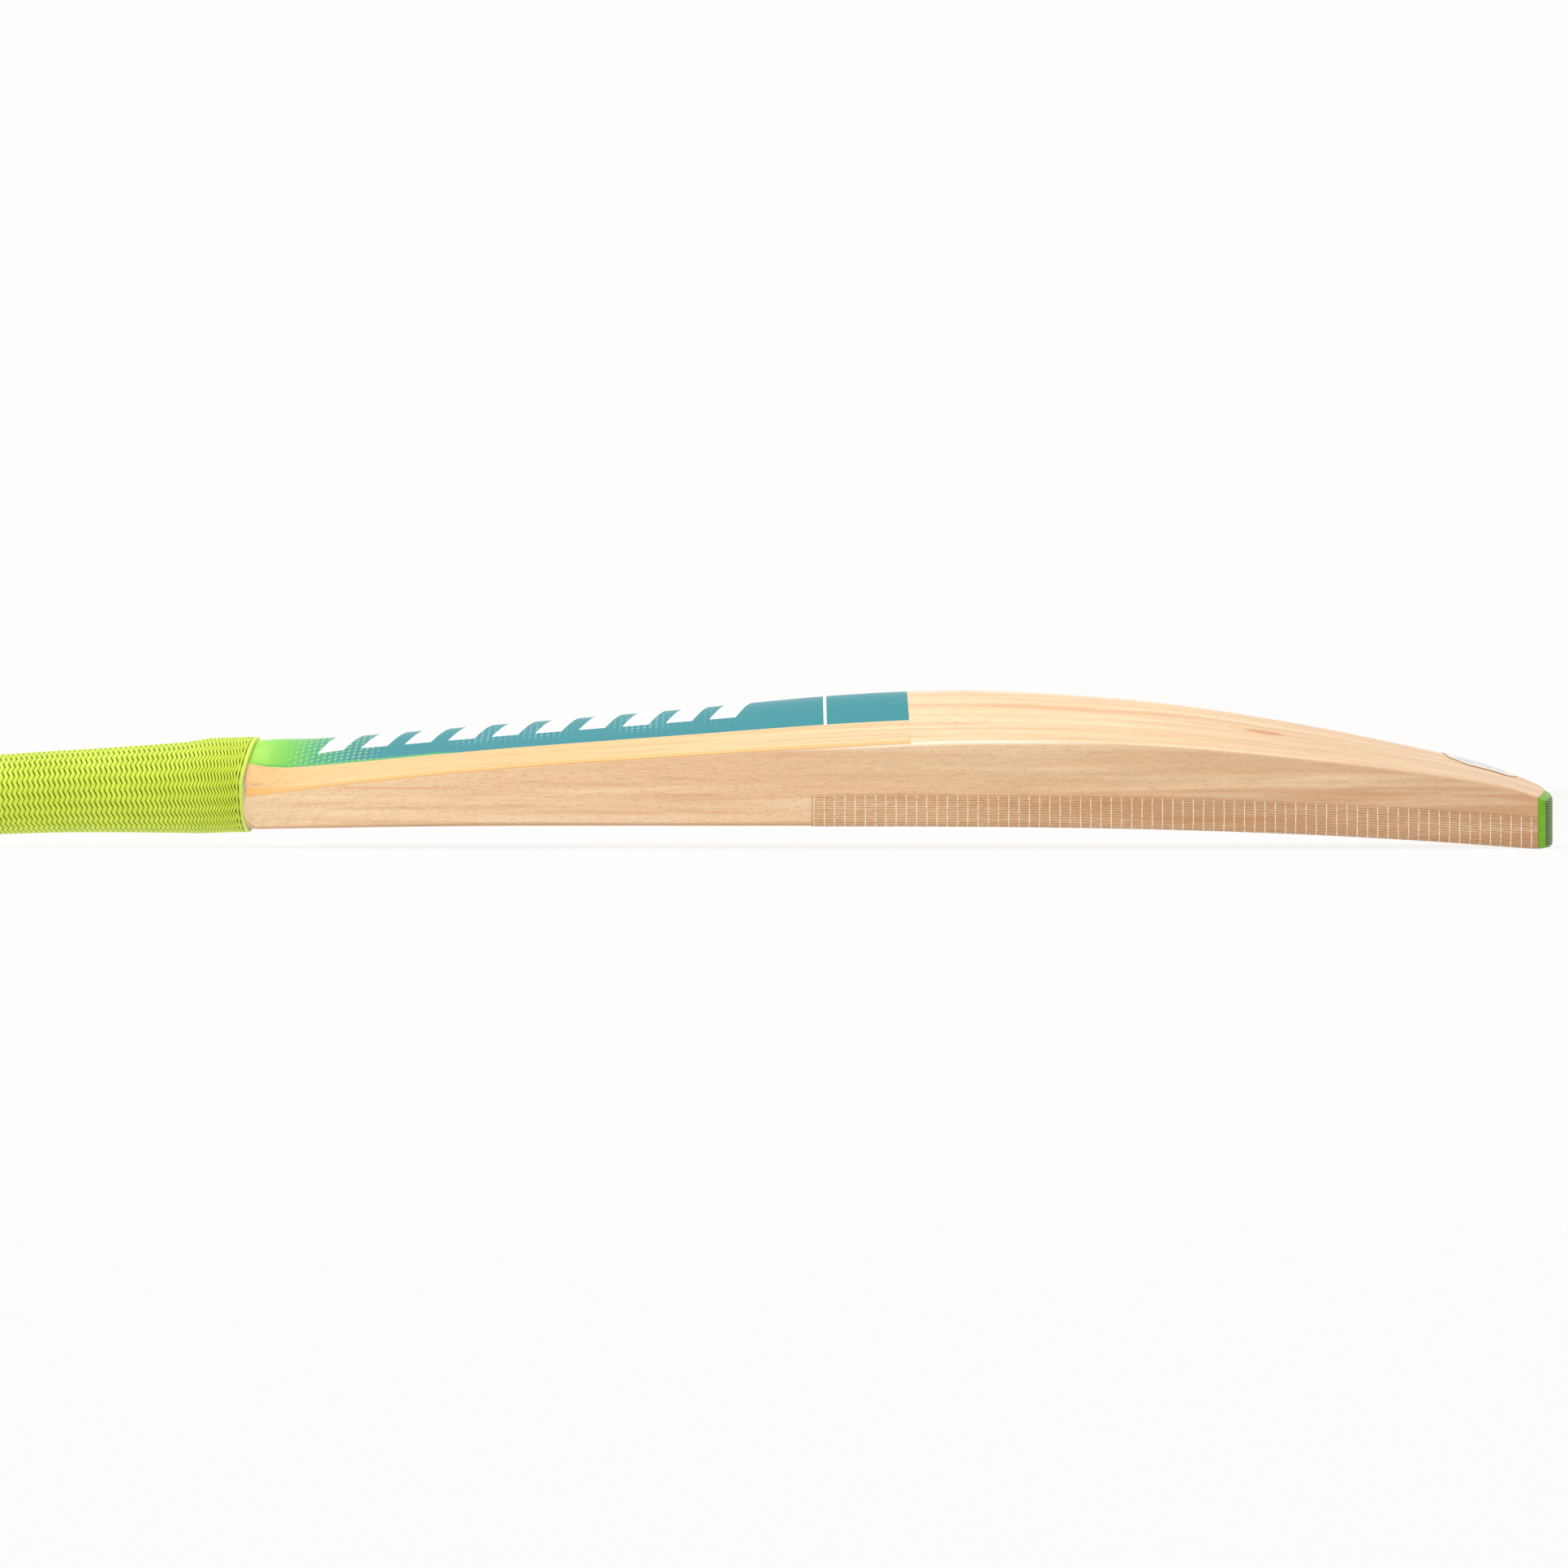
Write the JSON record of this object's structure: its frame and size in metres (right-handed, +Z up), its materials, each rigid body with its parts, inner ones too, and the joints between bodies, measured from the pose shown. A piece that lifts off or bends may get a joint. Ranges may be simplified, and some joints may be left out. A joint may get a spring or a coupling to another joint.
{
  "type": "cricket bat",
  "caption": "Full-size cricket bat: bowed willow blade with a ridged back, spliced cane handle, ridged rubber grip, reinforced face sheet and rubber toe guard.",
  "frame": {"origin": "centre of the bounding box's base: the plane the bat rests on when it lies on its face", "axes": "+X along the bat towards the toe, +Y across the blade, +Z up out of the ridged back"},
  "size_m": [0.857, 0.1076, 0.0681],
  "materials": {
    "willow": "pressed willow, oiled, fine straight grain along the blade",
    "cane": "bare cane with fine dark fibre ends",
    "spring_rubber": "matt black sheet",
    "twine": "waxed natural thread, wound tight",
    "neck_tape": "woven cloth tape",
    "grip_rubber": "soft lime green rubber with chevron ridges",
    "face_sheet": "thin sheet over the willow with fine white yarns",
    "guard_rubber": "green rubber, smooth sides and a finely ribbed end",
    "back_label": "printed gloss film, lime green to teal with plain white shapes",
    "toe_label": "printed gloss film, pale with light blue marks",
    "face_label": "printed gloss film, lime green to teal"
  },
  "bodies": {
    "root": {"blade": "willow", "cane_face_left": "cane", "cane_face_middle": "cane", "cane_face_right": "cane", "cane_inner_front_left": "cane", "cane_inner_front_middle": "cane", "cane_inner_front_right": "cane", "cane_inner_back_left": "cane", "cane_inner_back_middle": "cane", "cane_inner_back_right": "cane", "cane_back_left": "cane", "cane_back_middle": "cane", "cane_back_right": "cane", "rubber_spring_front": "spring_rubber", "rubber_spring_middle": "spring_rubber", "rubber_spring_back": "spring_rubber", "handle_binding": "twine", "neck_tape": "neck_tape", "grip": "grip_rubber", "face_sheet": "face_sheet", "toe_guard": "guard_rubber", "back_label": "back_label", "toe_label": "toe_label", "face_label": "face_label"}
  },
  "joints": []
}
